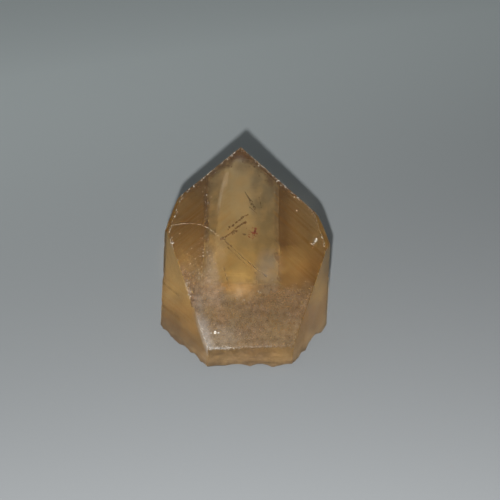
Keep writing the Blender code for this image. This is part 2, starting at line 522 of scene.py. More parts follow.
corner_of_face = meeting_point(plane("front_end"), plane("left_front_prism"), plane("front_prism"))
from_corner = np.linalg.norm(flat_points - corner_of_face, axis=1) / MM
at_front = gap["front_end"] < AT_FRONT
beside_left = fade(gap["left_front_prism"], 0.2, 2.4) * fade(from_corner, 3.5, 9.0)
beside_left *= np.where(on_front_wall, at_front, fade(gap["front_end"], 0.5, 1.4))
above_wall = fade(gap["front_prism"], 0.1, 0.8) * fade(from_corner, 2.0, 6.0)
bruise = np.maximum(beside_left, 0.5 * above_wall * at_front)
rim_line = fade(np.minimum(gap["left_front_prism"], gap["front_prism"]), 0.06, 0.24)
rim_line *= fade(from_corner, 2.0, 7.5) * at_front

ends = ("left_small_end", "right_small_end", "left_back_end", "right_back_end")
end_gap = np.minimum.reduce([gap[name] for name in ends])
dotted = fade(np.minimum(end_gap, gap["left_front_prism"] + 0.2), 0.10, 0.40) * on_front
upper_slopes = smooth_step(height, 26.5, 29.0) * on_front
print(f"{chip_mask.mean():.0%} chipped or broken, {edge_mask.mean():.0%} near an edge")

# %% [markdown]
# ## Grey tint, rust, painted shade and growth layers
#
# The colour is greyed on the back face, left of a slanting line, and on the big face right of the
# middle. They show as two darker bands in the clear column. Both side walls are greyed a little
# too, and painted shade darkens them along their back edges. Rust has crept in along the upper
# edges and beside the column, and painted shade darkens the foot, where it meets the floor. The
# colour is laid down in layers as thin as paper, parallel to the end faces, so fine streaks run
# along both slopes of the big face.

# %% Measure the grey tint, the rust, the painted shade and the layers
GREY_TINT_TOP, GREY_TINT_LOW = (-3.55, 25.5), (-5.5, 10.4)  # the slanting line on the back face: x and height
CRACK_FROM, CRACK_TO = (-4.4, 21.0), (3.9, 14.8)  # a crack across the big face
COLUMN_MIDDLE, LAYERS_APART = -0.4, 40  # millimetres; the right side's layers are other layers

patches = 0.22 * lattice_noise(flat_points, 2.3 * MM, 42)
patches += 0.18 * lattice_noise(flat_points, 0.9 * MM, 43)
slant = (GREY_TINT_TOP[0] - GREY_TINT_LOW[0]) / (GREY_TINT_TOP[1] - GREY_TINT_LOW[1])
line_x = GREY_TINT_LOW[0] + (height - GREY_TINT_LOW[1]) * slant
back_grey_tint = (fade(x, line_x - 0.15, line_x + 0.15) + patches) * on_back
right_grey_tint = 0.75 * smooth_step(x + 2 * patches, 0.8, 3.0)
right_grey_tint *= smooth_step(height + 4 * patches, 12.0, 19.0)
over_crack = height - np.interp(x, *zip(CRACK_FROM, CRACK_TO))
beyond_crack = 0.3 * smooth_step(over_crack, 0.0, 0.3) * fade(over_crack, 2.5, 6.5)
right_grey_tint = np.maximum(right_grey_tint, beyond_crack * smooth_step(x, -3.2, -1.0))
right_grey_tint = (right_grey_tint + patches) * on_front * fade(x, 7.5, 9.0)
left_wall_darker_low = 0.8 * fade(height + 3 * patches, 4.0, 8.5) * on_left_wall * smooth_step(-x, 10.3, 13.0)
# Painted shade: the side walls darken along their back edges, where those edges show dark.
left_line = fade(gap["left_back_prism"], 0.5, 1.1) * on_left_wall * smooth_step(height, 9.0, 12.0)
right_line = fade(gap["right_back_prism"], 0.4, 0.8) * on_right_wall
right_veil = 0.45 * smooth_step(height, 8.0, 13.0) * on_right_wall
grey_tints = [back_grey_tint, right_grey_tint, left_wall_darker_low, 0.9 * left_line, 0.8 * right_line, right_veil]
grey_tint_mask = np.maximum.reduce(grey_tints)

rust = fade(np.minimum(end_gap, gap["right_shoulder"]) + 2.0 * blur, 0.8, 2.2) * upper_slopes
beside_grey_tint = np.exp(-(((x + 6.9 + 0.6 * blur) / 0.55) ** 2)) * smooth_step(height, 22.5, 25.0) * on_front
beside_clear = smooth_step(x, 6.0, 6.7) * fade(x, 7.0, 10.5) * on_front
beside_clear *= smooth_step(height, 13.5, 17.0)
# Painted shade at the foot, darker where the crystal meets the floor; it is mixed in with the rust.
painted_foot_shade = fade(height, 0.15, 0.6) * ~on_base
rust_and_foot_shade_mask = np.maximum.reduce([0.85 * rust, 0.75 * beside_grey_tint, 0.35 * beside_clear, 0.5 * painted_foot_shade])

layer_place = np.where(x < 0, gap["left_back_end"], gap["right_back_end"] + LAYERS_APART)
layer_place[on_left_wall] = gap["right_back_end"][on_left_wall]
beside_column = smooth_step(np.abs(x - COLUMN_MIDDLE), 5.6, 6.6) * on_front
low_on_wall = on_left_wall * (0.06 + 0.34 * fade(height, 11.0, 15.0))
left_strip = 0.35 * on_front * (x < -2.5)
layers = [beside_column * np.where(x < 0, 0.85, 0.80), left_strip, low_on_wall]
layer_mask = np.maximum.reduce(layers)
polish_mask = (on_front | on_front_wall).astype(float)
grey_tinted, rusted = grey_tint_mask[on_back].mean(), rust_and_foot_shade_mask[on_front].mean()
print(f"film on {grey_tinted:.0%} of the back face, rust on {rusted:.0%} of the big one")

# %% [markdown]
# ## The mesh
#
# The skin is one closed mesh. It carries its marks as attributes, one number a point, which the
# material reads. The triangles of the broken base get a material of their own.

# %% Make the crystal's skin
SKIN_MARKS = {
    "chipped": chip_mask,
    "edge": edge_mask,
    "frost": frost_mask,
    # The grey tint also carries painted shade at the walls' back edges; the rust, painted shade at the
    # foot.
    "grey_tint": grey_tint_mask,
    "rust": rust_and_foot_shade_mask,
    "layer_place": layer_place,
    "layered": layer_mask,
    "polished": polish_mask,
}


def in_scene(name, data):
    """A new object with this data, in the scene."""
    obj = bpy.data.objects.new(name, data)
    bpy.context.scene.collection.objects.link(obj)
    return obj


def add_mesh(name, points, triangles, marks=None):
    """A smooth mesh that rides on the crystal, with one float attribute for each named mark."""
    mesh = bpy.data.meshes.new(name)
    mesh.from_pydata(points.tolist(), [], triangles.tolist())
    mesh.shade_smooth()
    for mark, values in (marks or {}).items():
        attribute = mesh.attributes.new(mark, "FLOAT", "POINT")
        attribute.data.foreach_set("value", values.astype(np.float32))
    obj = in_scene(name, mesh)
    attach(obj, "root")
    return obj


crystal = add_mesh("citrine_point", broken_points, skin_triangles, SKIN_MARKS)
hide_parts("crystal")
broken_triangles = on_base[skin_triangles].all(1)
crystal.data.polygons.foreach_set("material_index", broken_triangles.astype(np.int32))
print(np.bincount(broken_triangles), "clear and broken triangles")

# %% [markdown]
# ## Materials
#
# The clear skin is a Principled shader with full transmission. Its yellow comes from absorption
# inside, so thick places are deeper in colour. The broken base is so rough that next to nothing is
# seen through it, so it is a plain rough material. Both share their fine relief, so that is a node
# group. It draws grain where the skin is worn, and level lines everywhere.

# %% Shader helpers
def new_material(name, roughness):
    """A material with its Principled shader this rough: the material, its nodes and the shader."""
    material = bpy.data.materials.new(name)
    material.use_nodes = True
    shader = material.node_tree.nodes["Principled BSDF"]
    shader.inputs["Roughness"].default_value = roughness
    return material, material.node_tree, shader


def feed(socket, value):
    """Gives a socket a number, three numbers, a colour, or what another socket puts out."""
    if isinstance(value, bpy.types.NodeSocket):
        socket.id_data.links.new(value, socket)
    else:
        socket.default_value = (*value, 1) if socket.type == "RGBA" else value


def new_node(tree, kind, *values, **inputs):
    """A node of this kind: its first inputs get the values, and others are given by name."""
    made = tree.nodes.new(kind)
    for which, value in (*enumerate(values), *inputs.items()):
        feed(made.inputs[which], value)
    return made


def object_place(tree):
    """The place on the object, in metres."""
    return tree.nodes.new("ShaderNodeTexCoord").outputs["Object"]


def math_node(tree, operation, first, second):
    """The result of one operation on two values; each is a number or a socket."""
    made = new_node(tree, "ShaderNodeMath", first, second)
    made.operation = operation
    return made.outputs[0]


def scaled(tree, value, low, high, new_low, new_high):
    """Maps low..high to new_low..new_high, and holds the ends."""
    return new_node(tree, "ShaderNodeMapRange", value, low, high, new_low, new_high).outputs["Result"]


def mark(tree, name):
    """One of the mesh's marks, by name."""
    made = tree.nodes.new("ShaderNodeAttribute")
    made.attribute_name = name
    return made.outputs["Fac"]


def mixed(tree, share, first, second):
    """The first colour where share is 0 and the second where it is 1; each may be a socket."""
    made = tree.nodes.new("ShaderNodeMix")
    made.data_type = "RGBA"
    for name, value in (("Factor", share), ("A", first), ("B", second)):
        feed(made.inputs[name], value)
    return made.outputs["Result"]


def noise(tree, place, scale, detail=2.0):
    """Noise from 0 to 1 at this many waves a metre."""
    return new_node(tree, "ShaderNodeTexNoise", Vector=place, Scale=scale, Detail=detail).outputs["Fac"]


# %% The relief that both share
FINE, COARSE, SPECKS = 2600.0, 420.0, 1500.0  # waves a metre
FLATTENED = 0.15  # the lines are the fine noise, drawn out level by this share
GRAIN, LINES, UNWORN_GRAIN, CHIP_WEAR = 0.35, 0.5, 0.05, 0.6


def relief_group():
    """Height = fine (unworn + grain worn) + coarse + line lines; Worn = how worn the skin is."""
    group = bpy.data.node_groups.new("quartz_relief", "ShaderNodeTree")
    for name, value in (("Grain", GRAIN), ("Lines", LINES)):
        strength = group.interface.new_socket(name, in_out="INPUT", socket_type="NodeSocketFloat")
        strength.default_value = value
    for name in ("Height", "Worn", "Coarse"):
        group.interface.new_socket(name, in_out="OUTPUT", socket_type="NodeSocketFloat")
    given = group.nodes.new("NodeGroupInput").outputs
    place = object_place(group)
    fine, coarse = noise(group, place, FINE), noise(group, place, COARSE, 3.0)
    level = new_node(group, "ShaderNodeMapping", place, Scale=(FLATTENED, FLATTENED, 1.0)).outputs[0]
    lines = math_node(group, "MULTIPLY", noise(group, level, FINE, 3.0), given["Lines"])
    speck = scaled(group, noise(group, place, SPECKS, 1.0), 0.45, 0.65, 0.0, 1.0)
    worn_edge = math_node(group, "MULTIPLY", mark(group, "edge"), speck)
    frost = math_node(group, "MULTIPLY", mark(group, "frost"), scaled(group, fine, 0.3, 0.7, 0.5, 1.0))
    chipped = math_node(group, "MULTIPLY", mark(group, "chipped"), CHIP_WEAR)
    worn = math_node(group, "MAXIMUM", math_node(group, "MAXIMUM", chipped, worn_edge), frost)
    grain = math_node(group, "MULTIPLY", worn, given["Grain"])
    fine = math_node(group, "MULTIPLY", fine, math_node(group, "ADD", grain, UNWORN_GRAIN))
    height = math_node(group, "ADD", math_node(group, "ADD", fine, coarse), lines)
    new_node(group, "NodeGroupOutput", height, worn, coarse)
    return group


RELIEF = relief_group()


def with_relief(tree, shader, bump_mm):
    """Bumps the shader by the shared relief, and gives the relief's outputs."""
    relief = tree.nodes.new("ShaderNodeGroup")
    relief.node_tree = RELIEF
    height, distance = relief.outputs["Height"], bump_mm * MM
    bump = new_node(tree, "ShaderNodeBump", Strength=1.0, Distance=distance, Height=height)
    feed(shader.inputs["Normal"], bump.outputs[0])
    return relief.outputs


# %% What goes through the glass
QUARTZ_IOR = 1.544
ABSORBED = (8.0, 15.5, 38.0)  # red, green and blue light lost in a metre, as powers of e
DEEPEST = 0.9  # the absorption colour's darkest channel is one minus this
SHADOW_LOW, SHADOW_HIGH = (1.0, 0.95, 0.88), (0.2, 0.2, 0.2)
LAMP_LOW, LAMP_HIGH = 0.012, 0.026  # heights, in metres
SIDE_NEAR, SIDE_FAR, SIDE_SHADE = 0.008, 0.013, 0.9  # metres from the middle, and a share
SIDE_LOW, SIDE_HIGH = 0.008, 0.013  # heights, in metres


def lit_through(tree, shader):
    """Lets the lamps' light through the crystal, unbent, so that its shadow is not black.

    Light that enters the front is bent down and comes out low at the back, so the shadow is clear
    below LAMP_LOW and dark above LAMP_HIGH. The side faces turn the light aside, so the shadow is
    also dark from SIDE_NEAR outwards, above SIDE_LOW.
    """
    place = new_node(tree, "ShaderNodeSeparateXYZ", object_place(tree)).outputs
    high = scaled(tree, place["Z"], LAMP_LOW, LAMP_HIGH, 0, 1)
    aside = scaled(tree, math_node(tree, "ABSOLUTE", place["X"], 0), SIDE_NEAR, SIDE_FAR, 0, SIDE_SHADE)
    over_side = scaled(tree, place["Z"], SIDE_LOW, SIDE_HIGH, 0, 1)
    dark = math_node(tree, "MAXIMUM", high, math_node(tree, "MULTIPLY", aside, over_side))
    shade = mixed(tree, dark, SHADOW_LOW, SHADOW_HIGH)
    let_through = new_node(tree, "ShaderNodeBsdfTransparent", shade).outputs[0]
    in_shadow = tree.nodes.new("ShaderNodeLightPath").outputs["Is Shadow Ray"]
    choice = new_node(tree, "ShaderNodeMixShader", in_shadow, shader.outputs[0], let_through)
    feed(tree.nodes["Material Output"].inputs["Surface"], choice.outputs[0])


def yellow_inside(tree):
    """Absorption: each colour loses density * (1 - its share of the node's colour) in a metre."""
    density = max(ABSORBED) / DEEPEST
    color = [1 - lost / density for lost in ABSORBED]
    inside = new_node(tree, "ShaderNodeVolumeAbsorption", color, density)
    feed(tree.nodes["Material Output"].inputs["Volume"], inside.outputs[0])


# %% Clear and broken
CLEAR, PALE = (0.98, 0.95, 0.88), (0.95, 0.90, 0.80)
# The grey tint also paints shade along the side walls' back edges, and the rust colour shade at the foot.
GREY_TINT, RUST_AND_FOOT_SHADE = (0.28, 0.27, 0.245), (0.34, 0.21, 0.11)
STREAK, WARM = (0.62, 0.38, 0.13), (0.93, 0.79, 0.58)
BROKEN, BROKEN_ROUGH, BROKEN_BUMP = (0.34, 0.245, 0.15), 0.8, 0.25
POLISHED_ROUGH, CLEAR_ROUGH, FROSTED_ROUGH, CLEAR_BUMP = 0.05, 0.30, 0.36, 0.05
LAYERS_SCALE = 1.6  # waves a millimetre, across the layers

clear, tree, shader = new_material("citrine", CLEAR_ROUGH)
shader.inputs["IOR"].default_value = QUARTZ_IOR
shader.inputs["Transmission Weight"].default_value = 1.0
relief = with_relief(tree, shader, CLEAR_BUMP)
layers = new_node(tree, "ShaderNodeTexNoise", Scale=LAYERS_SCALE, Detail=3.0)
layers.noise_dimensions = "1D"
feed(layers.inputs["W"], mark(tree, "layer_place"))
streak = scaled(tree, layers.outputs["Fac"], 0.42, 0.62, 0.2, 1.0)
# The grey tint and the rust colour also paint shade: at the walls' back edges and at the foot.
tint = mixed(tree, mark(tree, "grey_tint"), CLEAR, GREY_TINT)
tint = mixed(tree, mark(tree, "rust"), tint, RUST_AND_FOOT_SHADE)
tint = mixed(tree, math_node(tree, "MULTIPLY", mark(tree, "layered"), streak), tint, STREAK)
tint = mixed(tree, scaled(tree, relief["Coarse"], 0.4, 0.7, 0.0, 0.6), tint, WARM)
feed(shader.inputs["Base Color"], mixed(tree, relief["Worn"], tint, PALE))
unworn = scaled(tree, mark(tree, "polished"), 0.0, 1.0, CLEAR_ROUGH, POLISHED_ROUGH)
more = math_node(tree, "MULTIPLY", relief["Worn"], math_node(tree, "SUBTRACT", FROSTED_ROUGH, unworn))
feed(shader.inputs["Roughness"], math_node(tree, "ADD", unworn, more))
lit_through(tree, shader)
yellow_inside(tree)

broken, tree, shader = new_material("broken_citrine", BROKEN_ROUGH)
feed(shader.inputs["Base Color"], BROKEN)
with_relief(tree, shader, BROKEN_BUMP)
for material in (clear, broken):
    crystal.data.materials.append(material)
print("quartz bends light by its index of", QUARTZ_IOR)

# %% [markdown]
# ## Small marks
#
# The rest are small bodies in or on the quartz, and all are ellipsoids. Long thin ones in a row are
# hollow growth tubes or cracks. Flat ones are flakes: iron oxide and clay, and quartz that was
# bruised, frosted or crushed. The pale flakes of bruised quartz also paint the glints of tiny facets
# and pits. Places are given as x and height on the big face and depth under it, in millimetres.
# Each kind goes from a dark shade to a light one by a fine noise.

# %% Joined ellipsoids
FINE_BALL, COARSE_BALL = (5, 8), (1, 5)  # rings, and points in each


def unit_ball(count, in_ring):
    """Rings of points (sin p cos a, sin p sin a, cos p) between two poles, and its triangles."""
    p = np.linspace(0, np.pi, count + 2)[1:-1]
    p, a = np.meshgrid(p, np.arange(in_ring) * 2 * np.pi / in_ring, indexing="ij")
    rings = np.stack([np.sin(p) * np.cos(a), np.sin(p) * np.sin(a), np.cos(p)], -1).reshape(-1, 3)
    i, j = np.meshgrid(np.arange(count - 1), np.arange(in_ring), indexing="ij")
    here, along = i * in_ring + j, i * in_ring + (j + 1) % in_ring
    below, across = here + in_ring, along + in_ring
    sides = np.stack([here, below, across, here, across, along], -1).reshape(-1, 3)
    turn = np.arange(in_ring)
    after = (turn + 1) % in_ring
    last = (count - 1) * in_ring
    top = np.stack([np.full(in_ring, len(rings)), turn, after], 1)
    foot = np.stack([np.full(in_ring, len(rings) + 1), last + after, last + turn], 1)
    return np.vstack([rings, [[0, 0, 1], [0, 0, -1]]]), np.concatenate([sides, top, foot])


def ellipsoids(centres, axes, fineness):
    """Each ball's points times its three axes (the rows of a 3 by 3 matrix), plus its centre."""
    ball, ball_triangles = unit_ball(*fineness)
    points = np.array(centres)[:, None, :] + ball @ np.array(axes)
    firsts = np.arange(len(centres))[:, None, None] * len(ball)
    return points.reshape(-1, 3), (ball_triangles + firsts).reshape(-1, 3)


# %% Places on the big face
skin_tree = BVHTree.FromPolygons(broken_points.tolist(), skin_triangles.tolist())
facing = plane("front_end")[0]


def frame_along(direction, near):
    """Two unit vectors square to a direction, the first as close to near as can be."""
    along = direction / np.linalg.norm(direction)
    aside = near - along * (near @ along)
    aside /= np.linalg.norm(aside)
    return aside, np.cross(along, aside)


def on_skin(place):
    """The nearest place on the worn skin, which chips and growth have sunk below the flat faces."""
    return np.array(skin_tree.find_nearest(place)[0])


def under_front(sideways, upward, depth):
    """The point at x and height on the big face, then straight in by depth, in millimetres."""
    spot = place_on("front_end", sideways, upward)
    over = NORMALS @ spot - REACH
    beyond = over.argmax()  # a place past the face's edge moves onto the face beside it
    return on_skin(spot - NORMALS[beyond] * over[beyond]) - facing * depth * MM


# %% Pieces of many ellipsoids
LOOKS = {  # the dark and the light shade, how rough it is, and waves a metre
    "growth_tube": ((0.11, 0.055, 0.02), (0.32, 0.19, 0.085), 0.6, 2500.0),
    "old_crack": ((0.08, 0.05, 0.025), (0.24, 0.17, 0.10), 0.6, 2500.0),
    "crack": ((0.55, 0.45, 0.32), (0.92, 0.86, 0.74), 0.5, 1500.0),
    "iron_oxide": ((0.16, 0.02, 0.01), (0.50, 0.13, 0.07), 0.5, 2200.0),
    "clay": ((0.09, 0.055, 0.03), (0.24, 0.15, 0.085), 0.7, 2500.0),
    "bruise": ((0.50, 0.42, 0.32), (0.95, 0.92, 0.86), 0.35, 3000.0),
    "frost": ((0.09, 0.055, 0.03), (0.36, 0.28, 0.20), 0.4, 1300.0),
    "crushed": ((0.42, 0.41, 0.39), (0.92, 0.91, 0.89), 0.35, 2500.0),
    "edge_dust": ((0.26, 0.19, 0.12), (0.92, 0.86, 0.76), 0.4, 2000.0),
    "rust": ((0.07, 0.04, 0.018), (0.20, 0.13, 0.07), 0.6, 2500.0),
}


def speckled(name, dark, light, roughness, scale):
    """A rough material whose colour goes from dark to light by a fine noise."""
    material, tree, shader = new_material(name, roughness)
    share = scaled(tree, noise(tree, object_place(tree), scale), 0.35, 0.65, 0.0, 1.0)
    feed(shader.inputs["Base Color"], mixed(tree, share, dark, light))
    return material


SPECKLED = {name: speckled(name, *look) for name, look in LOOKS.items()}


def add_marks(name, bodies, look, fineness=FINE_BALL):
    """One piece of many ellipsoids, each a centre and three axes, with one of the looks."""
    points, triangles = ellipsoids(*zip(*bodies), fineness)
    obj = add_mesh(name, np.clip(points, cad_low, cad_high), triangles)
    obj.data.materials.append(SPECKLED[look])
    print(f"{name}: {len(bodies)} bodies, {len(triangles)} triangles")


# %% Growth tubes and cracks
TUBES = [  # from x and height to x and height on the big face, then depth and half width
    (-4.6, 20.55, -1.8, 21.85, 0.15, 0.15),
    (-3.2, 22.1, -0.1, 23.9, 0.2, 0.13),
    (-1.8, 22.2, 0.5, 23.2, 0.15, 0.20),
    (-2.3, 21.2, -1.2, 22.0, 0.2, 0.11),
    (-0.6, 23.8, 0.9, 24.3, 0.25, 0.11),
    (-2.6, 21.6, 0.0, 23.1, 0.25, 0.08),
]
VEILS = [  # thin wrinkles higher up
    (0.3, 27.7, 2.3, 25.1, 0.4, 0.08),
    (0.8, 27.0, 1.3, 25.9, 0.4, 0.10),
    (1.3, 26.0, 2.2, 24.9, 0.4, 0.12),
    (1.0, 25.4, 2.4, 24.4, 0.4, 0.07),
    (2.9, 26.9, 3.4, 25.2, 0.4, 0.06),
]
CRACKS_INSIDE = [  # bent lines of x and height, then depth, half width and a dash's length
    ([CRACK_FROM, (-1.6, 18.7), (1.2, 16.7), CRACK_TO], 0.3, 0.08, 1.1),
    ([(-3.4, 19.5), (-1.4, 17.9), (0.8, 16.4), (2.2, 15.2), (2.0, 13.9)], 0.3, 0.05, 1.1),
    ([(-4.2, 16.5), (-3.6, 15.0), (-3.0, 13.5)], 0.3, 0.08, 1.1),
]
SURFACE_CRACK = [
    *((-13.6, 22.9), (-11.3, 23.1), (-9.4, 23.05)),
    *((-8.1, 22.85), (-6.6, 22.15), (-4.9, 21.1)),
]
DASH, ASTRAY = 0.34, 0.045  # how long a dash is, and how far it strays
FLATTER = 0.7  # a dash's depth, as a share of the half width given
MARKS_SEED = 19
chance = np.random.default_rng(MARKS_SEED)


def dashes(x0, z0, x1, z1, depth, half_width, length=DASH):
    """A broken thread: long ellipsoids, each a little off the line and of its own width."""
    start, end = under_front(x0, z0, depth), under_front(x1, z1, depth)
    count = max(1, round(np.linalg.norm(end - start) / MM / length))
    firsts = (np.arange(count) + chance.uniform(0, 0.3, count)) / count
    for first, share in zip(firsts, chance.uniform(0.5, 1.1, count) / count):
        aside = chance.normal(0, ASTRAY * MM, 3)
        a = start + first * (end - start) + aside
        b = start + (first + share) * (end - start) + aside
        if depth == 0:
            a, b = on_skin(a), on_skin(b)
        width = half_width * chance.uniform(0.8, 1.7)
        wide, deep = frame_along(b - a, np.cross(b - a, facing))
        yield (a + b) / 2, (wide * width * MM, deep * (half_width * FLATTER) * MM, (b - a) / 2)


def crack(line, *sizes):
    """The dashes along each stretch of a bent line."""
    return [body for a, b in zip(line, line[1:]) for body in dashes(*a, *b, *sizes)]


def every(maker, table):
    """All bodies that a maker gives for the rows of a table."""
    return [body for row in table for body in maker(*row)]


add_marks("growth_tubes", every(dashes, TUBES), "growth_tube")
add_marks("cracks_inside", every(dashes, VEILS) + every(crack, CRACKS_INSIDE), "old_crack")
add_marks("surface_crack", crack(SURFACE_CRACK, 0.0, 0.024, 0.5), "crack")

# %% Iron oxide and clay
IRON = [(2.0, 21.7, 0.42), (2.15, 22.1, 0.28), (1.7, 21.45, 0.30), (2.45, 21.3, 0.16)]  # x, height and size
IRON_SPRAY = ((1.7, 21.3), (0.55, 0.42), 44, 0.06, 0.15, 0.30)
IRON_DEPTH, IRON_FLATNESS, SPRAY_FLATNESS = 0.25, 0.3, 0.45
CLAY = [  # a middle, the spread in x and height, how many, smallest, largest, and depth
    ((-0.1, 21.2), (0.10, 0.08), 4, 0.14, 0.24, 0.2),
    ((-7.0, 26.4), (0.35, 1.3), 44, 0.05, 0.17, 0.05),
    ((-10.45, 11.6), (0.20, 0.45), 26, 0.12, 0.28, -0.05),
    ((-9.9, 11.6), (0.25, 0.30), 7, 0.08, 0.20, 0.05),
]


def flake(place, size, flatness):
    """A flat ellipsoid turned at random about the big face's normal."""
    angle = chance.uniform(0, np.pi)
    wide, high = frame_along(facing, np.array((math.cos(angle), math.sin(angle), 0)))
    wide_size, high_size = size * chance.uniform(0.5, 1.0, 2) * MM
    return place, (wide * wide_size, high * high_size, np.cross(wide, high) * size * flatness * MM)


def spray(middle, spread, count, low, high, depth=0.0):
    """Flakes about one place on the big face, with their sizes between low and high."""
    for place in chance.normal(middle, spread, (count, 2)):
        yield flake(under_front(*place, depth), chance.uniform(low, high), SPRAY_FLATNESS)


iron = [flake(under_front(x0, z0, IRON_DEPTH), size, IRON_FLATNESS) for x0, z0, size in IRON]
add_marks("iron_oxide", iron + every(spray, [IRON_SPRAY]), "iron_oxide")
add_marks("clay_specks", every(spray, CLAY), "clay")

# %% Bruises
# White flakes of bruised quartz; their bright specks also paint the glints of tiny pits and chips.
SPOTS = [  # x and height of single ones
    *((-7.0, 27.3), (-6.1, 27.0), (-7.9, 18.7), (-7.9, 18.2), (-10.3, 17.1), (-8.2, 16.6), (2.3, 12.7)),
    *((2.7, 12.5), (-13.9, 20.4), (-13.7, 19.8), (-12.2, 21.6), (10.0, 24.6), (1.2, 27.9), (-6.0, 6.7)),
    *((-5.8, 6.85), (13.1, 19.6), (-11.4, 13.7), (-11.1, 13.9), (-11.7, 14.0), (-10.5, 12.2), (-0.4, 11.5)),
]
SPOT_SIZES, SPOT_FLATNESS = (0.09, 0.15), 0.6
BRUISED = [  # a middle, the spread in x and height, how many, smallest and largest
    ((-8.0, 18.0), (1.2, 2.8), 60, 0.04, 0.09),
    ((-10.9, 12.8), (0.5, 0.9), 30, 0.05, 0.13),
    ((-13.6, 20.2), (0.25, 0.8), 16, 0.05, 0.13),
    ((-7.0, 26.8), (0.7, 1.3), 10, 0.04, 0.10),
    ((13.0, 19.5), (0.30, 0.4), 5, 0.05, 0.12),
    ((-6.1, 6.75), (0.25, 0.12), 12, 0.08, 0.20),
    ((1.5, 26.3), (1.3, 1.5), 22, 0.04, 0.08),
]
spots = [flake(under_front(*spot, 0.0), chance.uniform(*SPOT_SIZES), SPOT_FLATNESS) for spot in SPOTS]
add_marks("bruises", spots + every(spray, BRUISED), "bruise")


# %% Flakes strewn over the skin
def strewn(share, per_square_mm, smallest, largest, flatness):
    """Flakes on the skin, as many in each square millimetre as its share times the number given.

    A triangle is drawn with a chance of its area times its share, and the place in it evenly.
    """
    a, b, c = (broken_points[skin_triangles[:, k]] for k in range(3))
    cross = np.cross(b - a, c - a)
    double_area = np.linalg.norm(cross, axis=1)
    weight = double_area / 2 / MM**2 * share[skin_triangles].mean(1)
    count = int(weight.sum() * per_square_mm)
    drawn = chance.choice(len(weight), count, p=weight / weight.sum())
    u, v = np.sqrt(chance.uniform(0, 1, count)), chance.uniform(0, 1, count)
    places = a[drawn] * (1 - u)[:, None] + b[drawn] * (u * (1 - v))[:, None] + c[drawn] * (u * v)[:, None]
    outward = cross[drawn] / double_area[drawn][:, None]
    wide = np.cross(outward, chance.normal(0, 1, (count, 3)))
    wide /= np.linalg.norm(wide, axis=1)[:, None]
    high = np.cross(outward, wide)
    size = smallest + (largest - smallest) * chance.uniform(0, 1, count) ** 3
    spans = [size * chance.uniform(0.5, 1, count), size * chance.uniform(0.5, 1, count), size * flatness]
    axes = np.stack([wide, high, outward], 1) * (np.stack(spans, 1) * MM)[:, :, None]
    sunk = places - outward * (0.5 * size * flatness * MM)[:, None]
    return list(zip(sunk, axes))


STREWN = {  # the look, the share, flakes a square millimetre, smallest, largest and flatness
    "frost_specks": ("frost", frost_mask * on_front, 9.0, 0.04, 0.15, 0.4),
    "crushed_specks": ("crushed", 0.10 * bruise**2 + 0.9 * rim_line, 150.0, 0.035, 0.10, 0.6),
    # pale flecks near the upper edges: bruised quartz, painted bright for the glints of tiny facets
    "edge_specks": ("edge_dust", dotted, 16.0, 0.05, 0.20, 0.7),
    "rust_specks": ("rust", rust, 12.0, 0.06, 0.18, 0.5),
}
for name, (look, *spread) in STREWN.items():
    add_marks(name, strewn(*spread), look, COARSE_BALL)

# %% Beads along the upper edges
# The beads are bruised quartz, painted bright for the glints of tiny chipped facets.
UPPER_EDGES = [  # the face that meets the big one, beads in a millimetre, and their size
    ("right_back_end", 3.0, 0.07, 0.15),
    ("left_back_end", 2.2, 0.07, 0.15),
    ("right_shoulder", 1.6, 0.06, 0.13),
    ("left_small_end", 1.2, 0.06, 0.11),
    ("right_small_end", 0.4, 0.05, 0.09),
]
OFF_EDGE, SCATTER, BEAD_FLATNESS = 0.05, 0.16, 0.6  # millimetres inward: the least, and more by chance


def beads(face, per_mm, smallest, largest):
    """Flakes at random places on the side that a face shares with the big one, a little off it."""
    around_big_face = outlines["front_end"]
    gaps = np.abs(around_big_face @ plane(face)[0] - plane(face)[1])
    start, end = around_big_face[np.argsort(gaps)[:2]]
    count = int(np.linalg.norm(end - start) / MM * per_mm)
    inward = np.cross(facing, end - start)
    inward *= MM / np.linalg.norm(inward) * np.sign(inward @ (around_big_face.mean(0) - start))
    for along in np.sort(chance.uniform(0, 1, count)):
        off = OFF_EDGE + chance.exponential(SCATTER)
        place = on_skin(start + along * (end - start) + inward * off)
        yield flake(place, chance.uniform(smallest, largest), BEAD_FLATNESS)


add_marks("edge_beads", every(beads, UPPER_EDGES), "edge_dust")

# %% [markdown]
# ## Haze
#
# Rubbed quartz scatters light in a skin thinner than paper, which no glass material gives. So a
# closed sheet a hundredth of a millimetre thick lies over the rubbed places. It is a plain rough
# material, let through by its alpha. The alpha is the sum of four shares: milky for the frost, cool
# for bruises, pale streaks and a painted sheen where the frost fades out, golden for the left wall
# and for a painted glow in the window above the frost, and dark for seams, rust and painted shade
# at the foot. The sheet ends where the sum fades out.

# %% Where there is haze, and of which colour
PALE_STREAK = [(-3.0, 30.4), (-3.65, 29.3), (-4.3, 27.3), (-4.9, 24.8), (-5.4, 22.9)]
LEFT_LINE = [(-6.9, 29.3), (-7.1, 26.5), (-7.2, 20.5)]
RIGHT_LINE = [(6.5, 28.5), (6.4, 26.3), (6.2, 22.5), (6.0, 17.8)]
WALL_LINES = [[(-15.6, 10.4), (-12.7, 10.5)], [(-15.6, 5.4), (-12.8, 5.8)]]
COOL_SPOTS = [  # a share, then an ellipse on the big face: x, height and its two radii
    # painted sheen where the frost fades out
    (0.045, 4.2, 16.0, 3.6, 4.4),
    (0.05, -6.3, 15.6, 1.9, 5.6),
    (0.035, -6.5, 12.6, 4.0, 3.6),
    (0.03, -0.4, 32.7, 1.6, 0.9),
    (0.03, -1.1, 12.9, 3.6, 1.9),
    (0.02, -4.9, 18.6, 2.2, 4.4),
    (0.05, -8.7, 11.3, 2.0, 2.2),
    (0.05, -4.7, 6.0, 4.6, 2.7),
]
